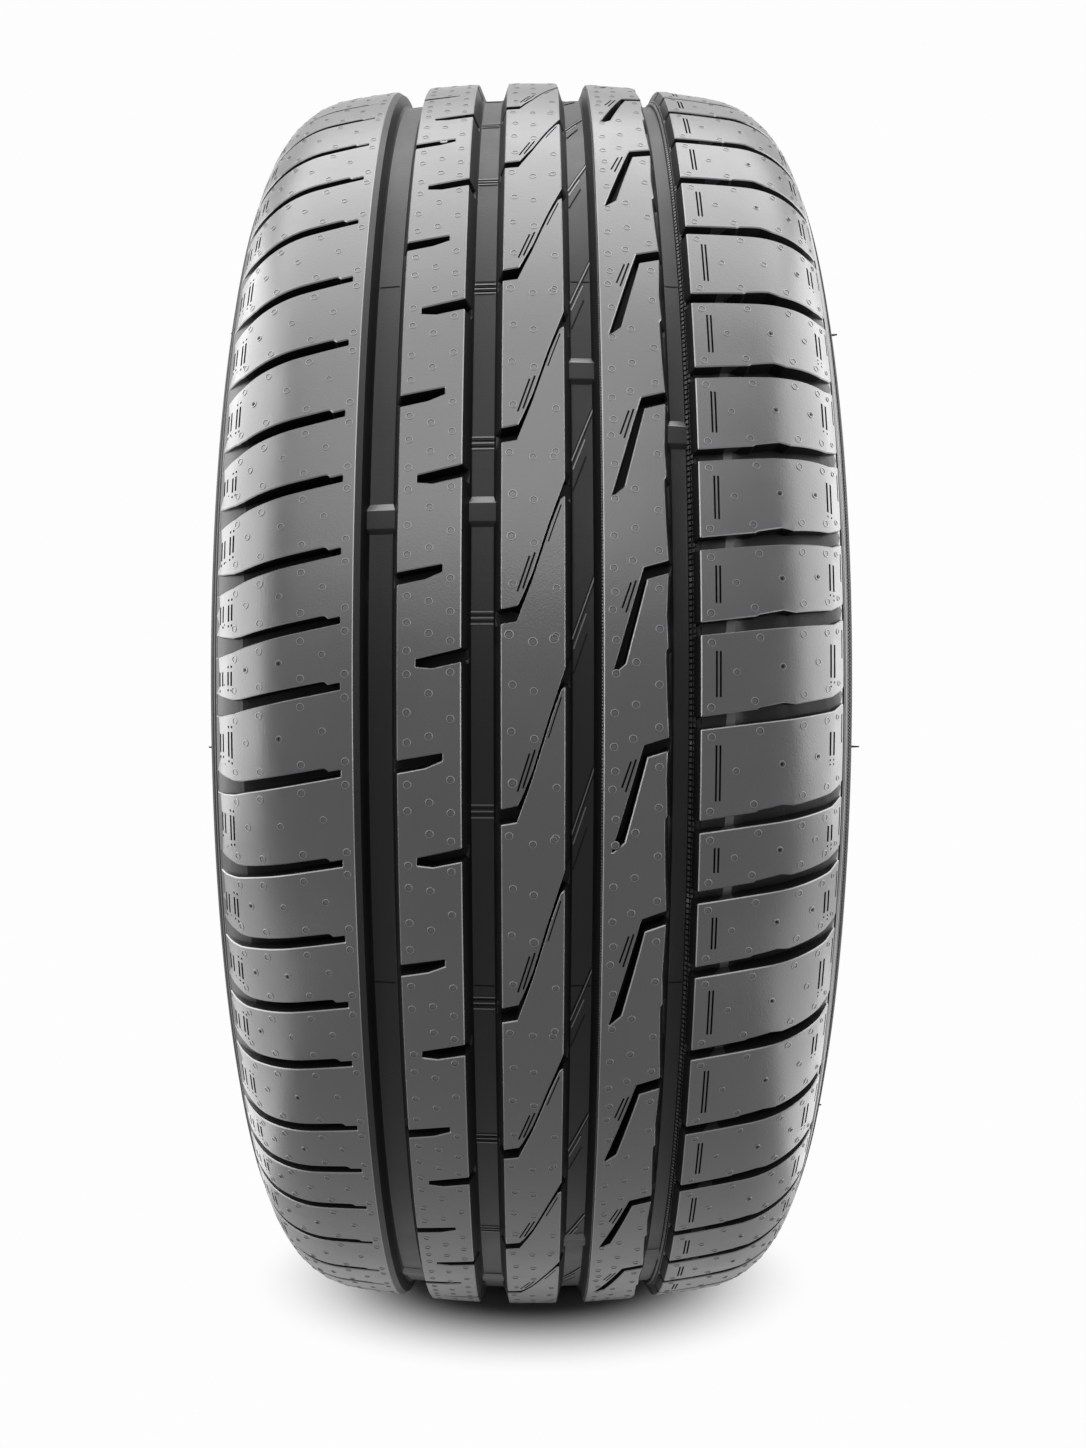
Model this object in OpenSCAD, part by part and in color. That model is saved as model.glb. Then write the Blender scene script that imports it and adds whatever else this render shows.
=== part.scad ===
// Radial car tyre, 255 mm wide, 40 series, for an 18 inch wheel, unmounted.
// The origin is the centre of the wheel that it fits. +Y is the spin axis, and +Z is up.
// Across the tread, places are arc lengths from the centre line, positive towards +Y.
// Around the tread, places are arc lengths on the crown, measured up from the +X side.

/* [Overall] */
// Outside diameter, over the crown of the tread
outer_d = 661.2; // [600:0.2:760]
// Section width, over the two sidewalls
section_w = 262; // [225:1:310]
// Distance between the outer faces of the beads
rim_w = 228.6; // [200:0.1:260]
// Diameter of the bead seat, which grips the rim
seat_d = 462; // [420:0.5:500]

/* [Tread shape] */
// Radius of the crown, seen in section
crown_r = 546; // [440:1:680]
// Arc length from the centre line to where the shoulder starts to turn down
crown_half = 90.4; // [76:0.2:108]
// Radius of the shoulder, seen in section
shoulder_r = 43.5; // [36:0.5:52]
// Slope of the surface where the shoulder ends and the sidewall starts, in degrees
shoulder_slope = 71.2; // [60:0.2:80]
// Where the sidewall is widest, as a share of its height above the bead seat
widest_share = 0.49; // [0.42:0.01:0.58]

/* [Walls] */
// Rubber and belts under the grooves
base_t = 9; // [7:0.1:12]
// Thickness of the sidewall at its widest line
wall_t = 8; // [6:0.1:10]
// Width of the bead seat
seat_w = 17; // [14:0.1:21]
// Height of the flat outer face of the bead, above the seat
bead_h = 7.5; // [6:0.1:9]
// Radius of the bead heel
heel_r = 4.5; // [3:0.1:6]
// Slope of the toe under the bead
toe_h = 2; // [1.5:0.1:3]

/* [Rings on the sidewall] */
// Height of the ring that marks the end of the shoulder
edge_ring_h = 1.2; // [0.8:0.1:2]
// Width of that ring
edge_ring_w = 3; // [2:0.1:4.5]
// How far the ring lies above the shoulder's end
edge_ring_up = 3.4; // [2.5:0.1:4.5]
// Where the rim protector stands, as a share of the way from the widest line down to the bead
guard_share = 0.47; // [0.35:0.01:0.6]
// How far the rim protector stands proud
guard_h = 2.6; // [2:0.1:3.5]
// Width of the rim protector
guard_w = 7; // [5:0.1:9]

/* [Ribs and grooves] */
// Depth of the four long grooves
groove_depth = 8; // [6:0.1:10]
// Width of groove 1, the outer one on the -Y side
groove_1_w = 16.5; // [13:0.1:20]
// Width of rib 2
rib_2_w = 24; // [19:0.1:29]
// Width of groove 2
groove_2_w = 14.7; // [12:0.1:18]
// Width of the centre rib
rib_3_w = 23.8; // [19:0.1:29]
// Shift of the centre rib towards +Y
rib_3_shift = 0.6; // [0:0.1:1.2]
// Width of groove 3
groove_3_w = 14.2; // [11:0.1:18]
// Width of rib 4
rib_4_w = 24.3; // [19:0.1:29]
// Width of groove 4, the outer one on the +Y side
groove_4_w = 12; // [9:0.1:15]
// Lean of the groove walls, top to floor
wall_lean = 2.8; // [1.6:0.1:3.4]
// Lean of the wide bevel on the shoulder side of groove 1
bevel_lean = 3.6; // [2.4:0.1:4.8]

/* [Slots] */
// Depth of the slots in the ribs
slot_depth = 6.5; // [5:0.1:8]
// Width of the thin cut that crosses the centre rib
sipe_w = 0.9; // [0.7:0.1:1.3]
// Depth of that cut
sipe_depth = 5.5; // [4:0.1:7]
// Depth of the shoulder slots at their inner end
shoulder_depth = 6.8; // [5:0.1:8]
// Depth of the shoulder slots at the edge of the tread
edge_depth = 2.6; // [2:0.1:3.4]
// Arc length from the shoulder's end back to the edge of the tread
edge_back = 6; // [4.5:0.1:7.5]

/* [Wear bars] */
// Wear bars in each groove
bars = 5; // [4:1:8]
// Length of a wear bar, around the tread
bar_l = 10; // [8:0.5:13]
// Height of a wear bar above the groove's floor
bar_h = 1.6; // [1.3:0.1:2]

/* [Pitches] */
// Pitches in ribs 2, 3 and 4
main_pitches = 29; // [26:1:34]
// Slots in the shoulder on the -Y side
left_slots = 67; // [60:1:76]
// Slots in the shoulder on the +Y side
right_slots = 58; // [52:1:66]

/* [Hidden] */
$fn = 96;

outer_r = outer_d / 2;
seat_r = seat_d / 2;
around = PI * outer_d;
mean_pitch = around / main_pitches;

// What the ribs and slots are cut with starts this far above the tread, and overlaps by this much.
above = 4;
lap = 2;

// Each row: the place of its highest slot on the front, and the pitches down from there, which vary
// so that the tread hums less. The other pitches share the rest of the way round.
left_row = [332.6, [30.5, 35, 32, 32.5, 35, 33, 32.5, 27.5, 29, 26.5, 25, 33, 35, 31, 29, 28.5, 35.5,
    27.5, 28.5, 34, 38]];
rib_2_left_row = [327.6, [67.5, 75.5, 77.5, 71.5, 70.5, 81, 81.5, 71]];
rib_2_right_row = [291.6, [67, 74.5, 74.5, 70.5, 75, 83, 74.5, 75]];
centre_row = [301.9, [63.5, 72.5, 74.5, 70.5, 74.5, 81, 73, 72.5]];
rib_4_row = [326.2, [73.5, 74.5, 71, 68.5, 66.5, 67.5, 75.5, 72, 69]];
right_row = [309, [39, 37.5, 36, 39.5, 36.5, 36, 35.5, 32.5, 35.5, 39.5, 28, 31.5, 38.5, 41, 38.5, 39, 34]];
// How far the slots at the back stray from even pitches
stray = 3;

function total(list, n) = n <= 0 ? 0 : list[n - 1] + total(list, n - 1);
function stations(row, n) =
    let (seen = len(row[1]), last = row[0] - total(row[1], seen), rest = around - total(row[1], seen))
    [for (i = [0 : n - 1])
        i <= seen ? row[0] - total(row[1], i)
        : let (part = (i - seen) / (n - seen)) last - rest * part + stray * sin(1080 * part)];
// The pitch above or below each station, as a share of the mean one
function pitch_above(s, i) = (i == 0 ? s[len(s) - 1] + around - s[0] : s[i - 1] - s[i]) / mean_pitch;
function pitch_below(s, i) = (i == len(s) - 1 ? s[i] - s[0] + around : s[i] - s[i + 1]) / mean_pitch;

// The outside of the section: a crown arc, a shoulder arc and a sidewall curve, as [axial, radial].
crown_slope = crown_half / crown_r * 180 / PI;
shoulder_c = [crown_r * sin(crown_slope) - shoulder_r * sin(crown_slope),
    outer_r - crown_r + (crown_r - shoulder_r) * cos(crown_slope)];
shoulder_len = shoulder_r * (shoulder_slope - crown_slope) * PI / 180;
tread_edge = crown_half + shoulder_len - edge_back;
function slope_at(t) = t < crown_half ? t / crown_r * 180 / PI
    : crown_slope + (t - crown_half) / shoulder_r * 180 / PI;
function skin(t, depth = 0) =
    let (side = t < 0 ? -1 : 1, a = slope_at(abs(t)))
    abs(t) < crown_half
        ? [side * (crown_r - depth) * sin(a), outer_r - crown_r + (crown_r - depth) * cos(a)]
        : [side * (shoulder_c[0] + (shoulder_r - depth) * sin(a)),
            shoulder_c[1] + (shoulder_r - depth) * cos(a)];

function curve(p, q, r, s, n) = [for (i = [1 : n]) let (u = i / n, v = 1 - u)
    v * v * v * p + 3 * v * v * u * q + 3 * v * u * u * r + u * u * u * s];
function unit(a) = [cos(a), -sin(a)];
function length(p, q) = norm(p - q);

side_top = skin(crown_half + shoulder_len);
side_wide = [section_w / 2, seat_r + widest_share * (side_top[1] - seat_r)];
side_foot = [rim_w / 2, seat_r + bead_h];
up_reach = length(side_top, side_wide) / 3;
down_reach = length(side_wide, side_foot) / 2.6;
foot_slope = 143;
toe = [rim_w / 2 - seat_w - heel_r, seat_r];
heel = [rim_w / 2 - heel_r, seat_r + heel_r];

// From the start of the shoulder down to the toe of the bead, on the +Y side
side_line = concat(
    [for (i = [0 : 5]) skin(crown_half + shoulder_len * i / 5)],
    curve(side_top, side_top + up_reach * unit(shoulder_slope), side_wide + [0, up_reach], side_wide, 4),
    curve(side_wide, side_wide - [0, down_reach], side_foot - down_reach / 2 * unit(foot_slope),
        side_foot, 6),
    [for (a = [0 : 30 : 90]) heel + heel_r * [cos(a), -sin(a)]],
    [toe]);

// The inside of the section follows the outside at the thickness of each part.
inner_crown = groove_depth + base_t;
inner_half = crown_half * 0.96;
in_top = skin(inner_half, inner_crown);
in_wide = side_wide - [wall_t, 0];
in_foot = [toe[0] - 1, toe[1] + toe_h];
in_reach = length(in_top, in_wide) / 2.4;
in_drop = length(in_wide, in_foot) / 2.8;
inside_line = concat(
    [for (i = [0 : 4]) skin(inner_half * i / 4, inner_crown)],
    curve(in_top, in_top + in_reach * unit(slope_at(inner_half)), in_wide + [0, in_reach], in_wide, 6),
    curve(in_wide, in_wide - [0, in_drop], in_foot + in_drop * [0.82, 0.57], in_foot, 6));

function backwards(points) = [for (i = [len(points) - 1 : -1 : 0]) points[i]];
function other_side(points) = [for (p = points) [-p[0], p[1]]];
function spun(points) = [for (p = points) [p[1], p[0]]];

// Edges of the grooves across the tread, from -Y to +Y
rib_3_a = rib_3_shift - rib_3_w / 2;
rib_3_b = rib_3_shift + rib_3_w / 2;
rib_2_b = rib_3_a - groove_2_w;
rib_2_a = rib_2_b - rib_2_w;
left_edge = rib_2_a - groove_1_w;
rib_4_a = rib_3_b + groove_3_w;
rib_4_b = rib_4_a + rib_4_w;
right_edge = rib_4_b + groove_4_w;
// Each groove: its two edges and the lean of its two walls
grooves = [
    [left_edge, rib_2_a, bevel_lean, wall_lean],
    [rib_2_b, rib_3_a, wall_lean, wall_lean],
    [rib_3_b, rib_4_a, wall_lean, wall_lean],
    [rib_4_b, right_edge, wall_lean, wall_lean]];
// Place of one wear bar in each groove, around the tread
bar_at = [59, 61, 122, 94.5];

module groove(g) {
    mouth = [skin(g[0], -above), skin(g[0]), skin(g[0] + g[2], groove_depth),
        skin(g[1] - g[3], groove_depth), skin(g[1]), skin(g[1], -above)];
    polygon(spun(mouth));
}

// A ring seen in section, on the surface point p, whose outward normal is n
module ring_section(p, n, wide, high) {
    along = [n[1], -n[0]];
    ring = [p - along * wide / 2 - n * lap, p - along * wide / 4 + n * high,
        p + along * wide / 4 + n * high, p + along * wide / 2 - n * lap];
    for (side = [-1, 1])
        polygon([for (q = ring) [q[1], side * q[0]]]);
}

ring_t = crown_half + shoulder_len - edge_ring_up;
guard_p = curve(side_wide, side_wide - [0, down_reach], side_foot - down_reach / 2 * unit(foot_slope),
    side_foot, 100)[round(guard_share * 100) - 1];

module section() {
    // The crown turns at the middle of each groove, where nothing shows.
    crown = [for (g = grooves) skin((g[0] + g[1]) / 2)];
    // The centre point of the inside is shared by both sides.
    left_inside = [for (i = [1 : len(inside_line) - 1]) inside_line[i]];
    difference() {
        polygon(spun(concat(crown, side_line, backwards(inside_line), other_side(left_inside),
            other_side(backwards(side_line)))));
        for (g = grooves) groove(g);
    }
    ring_section(skin(ring_t), [sin(slope_at(ring_t)), cos(slope_at(ring_t))], edge_ring_w, edge_ring_h);
    ring_section(guard_p, [1, 0], guard_w, guard_h);
}

// Turns a plan view of the tread to face out: across is the spin axis, up is around.
module facing_out(s) {
    rotate([0, 0, -s / outer_r * 180 / PI]) rotate(180, [1, 0, 1]) children();
}

// A slot through a rib, from the points [share of the rib's width, length around]
module slot(s, from, to, points, stretch, depth) {
    floor_r = skin((from + to) / 2)[1] - depth;
    facing_out(s) translate([0, 0, floor_r]) linear_extrude(outer_r + above - floor_r)
        polygon([for (p = points) [skin(from + p[0] * (to - from))[0], p[1] * stretch]]);
}

function strip(points, wide) = concat([for (p = points) [p[0] - wide / 2, p[1]]],
    [for (i = [len(points) - 1 : -1 : 0]) [points[i][0] + wide / 2, points[i][1]]]);

rib_2_left_slot = [[-0.08, 1.1], [0.73, 4.6], [0.73, 1.6], [0.44, -1], [-0.08, -3.6]];
rib_2_right_slot = [[0.29, -1], [1.08, 3.8], [1.08, -1.2], [0.52, -4], [0.29, -3.5]];
centre_notch = [[-0.07, 2.1], [0.29, 3.8], [0.24, -2.6], [-0.07, -4.2]];
centre_sipe = [[0.27, 1.5], [0.31, 7], [0.48, 15], [0.69, 30.5], [0.85, 39.5], [1.05, 50]];
rib_4_slot = [[1.08, 3.5], [0.63, 0.6], [0.6, -0.6], [0.14, -43], [0.32, -38.5], [0.67, -4.1],
    [1.08, -1.3]];
left_slot = [[0.06, 1.6], [0.16, 1.4], [0.17, 2.1], [0.72, -4.4], [1.12, -2.2], [1.12, -10.9],
    [0.83, -9.9], [0.67, -8.4], [0.06, -1.4]];
right_slot = [[-0.04, 1.4], [0.32, 5.3], [0.47, 7], [0.7, 8.3], [0.84, 9.8], [1.1, 15], [1.1, 6.5],
    [0.9, 4.5], [0.54, 1.3], [0.25, -0.7], [-0.04, -3.1]];

module rib_slots() {
    a = stations(rib_2_left_row, main_pitches);
    b = stations(rib_2_right_row, main_pitches);
    c = stations(centre_row, main_pitches);
    d = stations(rib_4_row, main_pitches);
    sipe = strip([for (p = centre_sipe) [p[0] * rib_3_w, p[1]]], sipe_w);
    for (i = [0 : main_pitches - 1]) {
        slot(a[i], rib_2_a, rib_2_b, rib_2_left_slot, 1, slot_depth);
        slot(b[i], rib_2_a, rib_2_b, rib_2_right_slot, 1, slot_depth);
        slot(c[i], rib_3_a, rib_3_b, centre_notch, pitch_above(c, i), slot_depth);
        slot(c[i], rib_3_a, rib_3_b, [for (p = sipe) [p[0] / rib_3_w, p[1]]], pitch_above(c, i),
            sipe_depth);
        slot(d[i], rib_4_a, rib_4_b, rib_4_slot, pitch_below(d, i), slot_depth);
    }
}

// The space that the shoulder slots may fill: its floor rises to the surface at the sidewall.
module shoulder_space(side, edge) {
    over = crown_half + shoulder_len;
    function depth_at(t) = t < tread_edge
        ? shoulder_depth + (edge_depth - shoulder_depth) * pow((t - edge) / (tread_edge - edge), 3)
        : edge_depth;
    steps = 5;
    floor_line = [for (i = [0 : steps])
        let (t = edge - lap + (tread_edge - edge + lap) * i / steps) skin(t, depth_at(max(t, edge)))];
    out = skin(over - 0.25 * edge_back, -above);
    rim = concat(floor_line, [skin(over - 0.25 * edge_back), out, [out[0], outer_r + above],
        [skin(edge - lap)[0], outer_r + above]]);
    rotate_extrude() polygon([for (p = rim) [p[1], side * p[0]]]);
}

module shoulder_slots(side, edge, row, n, shape) {
    s = stations(row, n);
    intersection() {
        shoulder_space(side, edge);
        union() {
            for (i = [0 : n - 1])
                facing_out(s[i]) translate([0, 0, shoulder_c[1]])
                    linear_extrude(outer_r + 2 * above - shoulder_c[1])
                        polygon([for (p = shape) [side * skin(edge + p[0] * (tread_edge - edge))[0],
                            p[1]]]);
        }
    }
}

module wear_bars() {
    for (i = [0 : 3], k = [0 : bars - 1])
        let (g = grooves[i], mid = skin((g[0] + g[1]) / 2)[1] - groove_depth)
        facing_out(bar_at[i] + k * around / bars)
            translate([skin(g[0])[0] - lap / 2, -bar_l / 2, mid - lap])
                cube([g[1] - g[0] + lap, bar_l, bar_h + lap]);
}

module tyre() {
    color([0.13, 0.13, 0.14])
        rotate([-90, 0, 0])
            difference() {
                union() {
                    rotate_extrude() section();
                    wear_bars();
                }
                rib_slots();
                shoulder_slots(-1, -left_edge, left_row, left_slots, left_slot);
                shoulder_slots(1, right_edge, right_row, right_slots, right_slot);
            }
}

tyre();
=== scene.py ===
import math
import random

import bpy
import numpy as np
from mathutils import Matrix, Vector
from mathutils.geometry import delaunay_2d_cdt
from mathutils.kdtree import KDTree


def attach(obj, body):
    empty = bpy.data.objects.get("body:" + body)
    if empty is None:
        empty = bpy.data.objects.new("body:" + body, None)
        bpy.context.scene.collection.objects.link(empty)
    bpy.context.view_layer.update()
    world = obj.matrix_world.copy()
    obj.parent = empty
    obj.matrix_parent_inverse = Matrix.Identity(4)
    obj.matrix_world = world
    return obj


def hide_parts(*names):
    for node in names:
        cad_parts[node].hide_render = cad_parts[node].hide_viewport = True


# Lengths are in millimetres until a mesh is made. Across the tread, t is the arc length from the
# centre line, positive towards +Y. Around it, s is the arc length on the crown, measured up from +X.
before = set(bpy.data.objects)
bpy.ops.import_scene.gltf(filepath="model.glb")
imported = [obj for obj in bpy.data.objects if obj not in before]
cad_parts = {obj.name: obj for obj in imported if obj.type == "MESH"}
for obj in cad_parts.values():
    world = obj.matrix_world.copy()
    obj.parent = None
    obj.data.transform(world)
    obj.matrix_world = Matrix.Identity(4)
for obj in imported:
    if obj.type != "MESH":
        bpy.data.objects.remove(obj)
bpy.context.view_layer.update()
millimetre = 0.001
chance = random.Random(18)
print("frame loaded")

section = {
    "outerRadius": 330.6,     # over the crown of the tread
    "crownRadius": 546.0,     # how flat the crown is
    "crownHalf": 90.4,        # arc length where the shoulder starts
    "shoulderRadius": 43.5,
    "shoulderSlope": 71.2,    # degrees, where the sidewall starts
    "halfWidth": 131.0,
    "widestShare": 0.49,      # height of the widest line, between bead seat and shoulder's end
    "rimHalf": 114.3,         # outer face of the bead
    "seatRadius": 231.0,
    "seatWidth": 17.0,
    "beadHeight": 7.5,
    "heelRadius": 4.5,
    "toeWidth": 1.0,
    "toeHeight": 2.0,
    "wall": 8.0,
    "crownWall": 17.0,        # rubber and belts from the tread down to the liner
}
stepsAround = 520             # points on each ring that closes a row of the tread
around = 2 * math.pi * section["outerRadius"]

crownSlope = section["crownHalf"] / section["crownRadius"]
shoulderLength = section["shoulderRadius"] * (math.radians(section["shoulderSlope"]) - crownSlope)
treadEnd = section["crownHalf"] + shoulderLength
shoulderCentre = (
    (section["crownRadius"] - section["shoulderRadius"]) * math.sin(crownSlope),
    section["outerRadius"] - section["crownRadius"]
    + (section["crownRadius"] - section["shoulderRadius"]) * math.cos(crownSlope),
)


def skinPoint(t, depth):
    # Axial and radial place of a point at this depth under the smooth outside of the tread
    a = np.abs(t)
    crown = a / section["crownRadius"]
    shoulder = crownSlope + (a - section["crownHalf"]) / section["shoulderRadius"]
    onCrown = a < section["crownHalf"]
    big = section["crownRadius"] - depth
    small = section["shoulderRadius"] - depth
    axial = np.where(onCrown, big * np.sin(crown), shoulderCentre[0] + small * np.sin(shoulder))
    radial = np.where(onCrown, section["outerRadius"] - section["crownRadius"] + big * np.cos(crown),
                      shoulderCentre[1] + small * np.cos(shoulder))
    return np.sign(t) * axial, radial


def turned(axial, radial, turn):
    return np.stack([radial * np.cos(turn), axial + 0 * turn, radial * np.sin(turn)], axis=-1) * millimetre


def placed(t, s, depth):
    axial, radial = skinPoint(t, depth)
    return turned(axial, radial, s / section["outerRadius"])


def rightOf(way):
    # The way at right angles to this one, towards its right-hand side and with a length of 1
    way = way / np.hypot(way[..., 0], way[..., 1])[..., None]
    return np.stack([way[..., 1], -way[..., 0]], axis=-1)


def addObject(name, data):
    added = bpy.data.objects.new(name, data)
    bpy.context.scene.collection.objects.link(added)
    return added


def emptyTree(owner):
    owner.use_nodes = True
    owner.node_tree.nodes.clear()
    return owner.node_tree


def addNode(tree, kind, values=None, links=None, **settings):
    # One shader node with its plain values and what feeds it
    node = tree.nodes.new(kind)
    for name, value in settings.items():
        setattr(node, name, value)
    for name, value in (values or {}).items():
        node.inputs[name].default_value = value
    for name, source in (links or {}).items():
        tree.links.new(source, node.inputs[name])
    return node


def linear(hexColour):
    # A colour as a screen shows it, turned into the linear light that the shaders take
    parts = [int(hexColour[i:i + 2], 16) / 255 for i in (1, 3, 5)]
    return tuple(c / 12.92 if c <= 0.04045 else ((c + 0.055) / 1.055) ** 2.4 for c in parts) + (1.0,)


rubber = {
    # colour, paler colour, roughness and index of refraction
    "land": ("#202022", "#2a2a2c", 0.33, 1.70),
    # Edge: paler and more reflective than the land, a painted highlight on the bevels.
    "edge": ("#404042", "#4c4c4e", 0.30, 1.90),
    # Groove and slot: near black and barely reflective, painted shade.
    "groove": ("#0e0e0f", "#131314", 0.42, 1.29),
    "slot": ("#080809", "#0b0b0c", 0.60, 1.20),
    # Sidewall: satin, and also darker and duller as painted shade.
    "sidewall": ("#19191a", "#202022", 0.50, 1.28),
    "grain": 0.8,             # mm, grain of the mould's surface, drawn coarser than it is so that it shows
    "grainHeight": 0.06,      # mm
    "wave": 22.0,             # mm, slow unevenness of the pressed surface
    "waveHeight": 0.10,       # mm
    "bloom": 45.0,            # mm, size of the paler clouds
    "bloomRange": (0.3, 0.7),     # values of the clouds' noise between which the roughness changes
    "smear": 0.05,            # by how much it changes, up and down
}


def vulcanisedRubber(name, kind):
    colourHex, palerHex, roughness, refraction = rubber[kind]
    material = bpy.data.materials.new(name)
    tree = emptyTree(material)
    place = addNode(tree, "ShaderNodeTexCoord").outputs["Object"]

    def noise(size, detail, rough):
        return addNode(tree, "ShaderNodeTexNoise", {"Scale": 1000 / rubber[size], "Detail": detail,
                                                    "Roughness": rough}, {"Vector": place}).outputs["Fac"]

    def bumped(height, distance, links):
        return addNode(tree, "ShaderNodeBump", {"Strength": 1.0, "Distance": rubber[distance] * millimetre},
                       {"Height": height, **links}).outputs["Normal"]

    grain, cloud, wave = noise("grain", 2.0, 0.6), noise("bloom", 4.0, 0.6), noise("wave", 3.0, 0.45)
    bump = bumped(grain, "grainHeight", {"Normal": bumped(wave, "waveHeight", {})})
    low, high = rubber["bloomRange"]
    smear = addNode(tree, "ShaderNodeMapRange", {"From Min": low, "From Max": high,
                                                 "To Min": roughness - rubber["smear"],
                                                 "To Max": roughness + rubber["smear"]}, {"Value": cloud})
    colour = addNode(tree, "ShaderNodeMix", {"A": linear(colourHex), "B": linear(palerHex)},
                     {"Factor": cloud}, data_type="RGBA")
    shader = addNode(tree, "ShaderNodeBsdfPrincipled", {"IOR": refraction},
                     {"Base Color": colour.outputs["Result"], "Roughness": smear.outputs["Result"],
                      "Normal": bump})
    addNode(tree, "ShaderNodeOutputMaterial", links={"Surface": shader.outputs["BSDF"]})
    return material


# Rubber pressed against the polished steel of the mould: near black, with a soft sheen and a fine grain
# that breaks the highlights up. Wax that has come to the surface makes the lands a little paler.
landRubber = vulcanisedRubber("vulcanised rubber, moulded land", "land")
# Painted highlight: the bevels along the sharp edges take a paler, more reflective rubber, so that they
# draw fine light lines round the blocks.
edgeHighlightRubber = vulcanisedRubber("vulcanised rubber, painted edge highlight", "edge")
# Painted shade: in the grooves the rubber is made near black, with next to no sheen, to stand for the shade
# there.
grooveShadeRubber = vulcanisedRubber("vulcanised rubber, painted groove shade", "groove")
# Painted shade: the narrow slots, moulded by thin blades, take a still darker and duller rubber to stand
# for the shade inside them.
slotShadeRubber = vulcanisedRubber("vulcanised rubber, painted slot shade", "slot")
# The sidewalls have a satin face; they are also made plainly darker and duller than the lands, painted
# shade that keeps the outline dark where they turn away.
sideSatinAndShadeRubber = vulcanisedRubber("vulcanised rubber, satin sidewall with painted shade", "sidewall")
print("materials made")

# The finishes of a face, in the order of the material slots. A face takes the last one of its corners.
# Among them, edge is a painted highlight, groove and slot are painted shade, and sidewall is partly painted
# shade.
finishes = {"land": 0, "edge": 1, "low land": 2, "groove": 3, "slot": 4, "sidewall": 5}
finishRubber = (landRubber, edgeHighlightRubber, landRubber, grooveShadeRubber, slotShadeRubber, sideSatinAndShadeRubber)
creaseAngle = 32              # degrees, from which two faces meet in a sharp edge


def mesh(name, points, faceSets, finish):
    # One piece of the tyre. finish holds the number of each face's finish.
    corners = np.concatenate([f.ravel() for f in faceSets]).astype(np.int32)
    sizes = np.concatenate([np.full(len(f), f.shape[1]) for f in faceSets])
    starts = np.concatenate([[0], np.cumsum(sizes)[:-1]]).astype(np.int32)
    data = bpy.data.meshes.new(name)
    data.vertices.add(len(points))
    data.vertices.foreach_set("co", np.ascontiguousarray(points, dtype=np.float32).ravel())
    data.loops.add(len(corners))
    data.loops.foreach_set("vertex_index", corners)
    data.polygons.add(len(sizes))
    data.polygons.foreach_set("loop_start", starts)
    data.polygons.foreach_set("use_smooth", np.ones(len(sizes), bool))
    data.update(calc_edges=True)
    data.set_sharp_from_angle(angle=math.radians(creaseAngle))
    for material in finishRubber:
        data.materials.append(material)
    data.polygons.foreach_set("material_index", finish.astype(np.int32))
    # Where two finishes meet there is a crease.
    edgeOf, sharp = np.empty(len(corners), np.int32), np.empty(len(data.edges), bool)
    data.loops.foreach_get("edge_index", edgeOf)
    data.edges.foreach_get("use_edge_sharp", sharp)
    first, last = np.full(len(sharp), len(finishes)), np.full(len(sharp), -1)
    finishOfCorner = np.repeat(finish, sizes).astype(int)
    np.minimum.at(first, edgeOf, finishOfCorner)
    np.maximum.at(last, edgeOf, finishOfCorner)
    data.edges.foreach_set("use_edge_sharp", sharp | (first != last))
    piece = addObject(name, data)
    weighted = piece.modifiers.new("flat lands", "WEIGHTED_NORMAL")
    weighted.keep_sharp = True
    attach(piece, "root")
    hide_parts("tyre")
    print(name, "has", len(points), "points and", int((sizes - 2).sum()), "triangles")


# The faces of a small solid of eight corners, the first four below and the others above them
boxFaces = [[3, 2, 1, 0], [4, 5, 6, 7], [0, 1, 5, 4], [1, 2, 6, 5], [2, 3, 7, 6], [3, 0, 4, 7]]


def copies(faces, count, each, first=0):
    # The same faces on each of many small solids, which have this many points each
    offsets = first + np.arange(count)[:, None, None] * each
    return (np.array(faces) + offsets).reshape(-1, len(faces[0]))


def boxes(name, sets, finish):
    faces = copies(boxFaces, len(sets), 8)
    mesh(name, np.vstack(sets), [faces], np.full(len(faces), finishes[finish]))


# How the wall below each edge of the tread goes: the size of the bevel at its top, how far its foot
# leans out, and the depth of its foot. Where that depth is None, the foot stands on the slot's own floor.
edges = {
    "groove": (0.38, 2.2, 6.3),
    "sloped": (0.3, 3.4, 6.3),
    "slot": (0.4, 0.3, None),
    "run-out": (0.12, 0.2, None),
    "sipe": (0.14, 0.04, 5.5),
    "end": (0.4, 0.4, None),
}
tread = {
    "grooveDepth": 8.0,
    "slotDepth": 6.9,
    "sole": 12.0,             # depth of the rows' underside, which lies inside the carcass
    "corner": 0.4,            # rounding of the corners in plan
    "straight": 0.12,         # radians; a corner that turns less isn't rounded
    "bendStep": 0.42,         # radians between the points of a rounded corner, at most
    "bendShare": 0.42,        # the most of an edge that the rounding of one corner takes
    "edgeStep": 3.6,          # longest stretch between points along an edge
    "straightPoints": 60,     # corners of an edge that runs straight round the tread
    "footSteps": 400,         # points on each ring at the foot of a groove's wall
    "leastSpread": 0.5,       # keeps sharp corners from shooting out where a line is moved
    "landStep": 6.5,          # spacing of the points scattered on the lands and floors
    "landStart": 0.6,         # share of it from the row's edge to the first of them
    "clear": 1.5,             # how near they may come to a line
    "join": 0.0004,           # points nearer together than this become one
    "soleStep": 12.0,         # spacing of the rings under a row
    "markStep": 4.0,          # longest stretch between points along a sunk line
    "markDepth": 1.2,
    "markInset": 0.12,        # lean of its walls
    "markClear": 1.2,         # how near to it the scattered points may come
    "blockRoot": 0.3,         # how far a ridge or plate reaches into its floor
}
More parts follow.
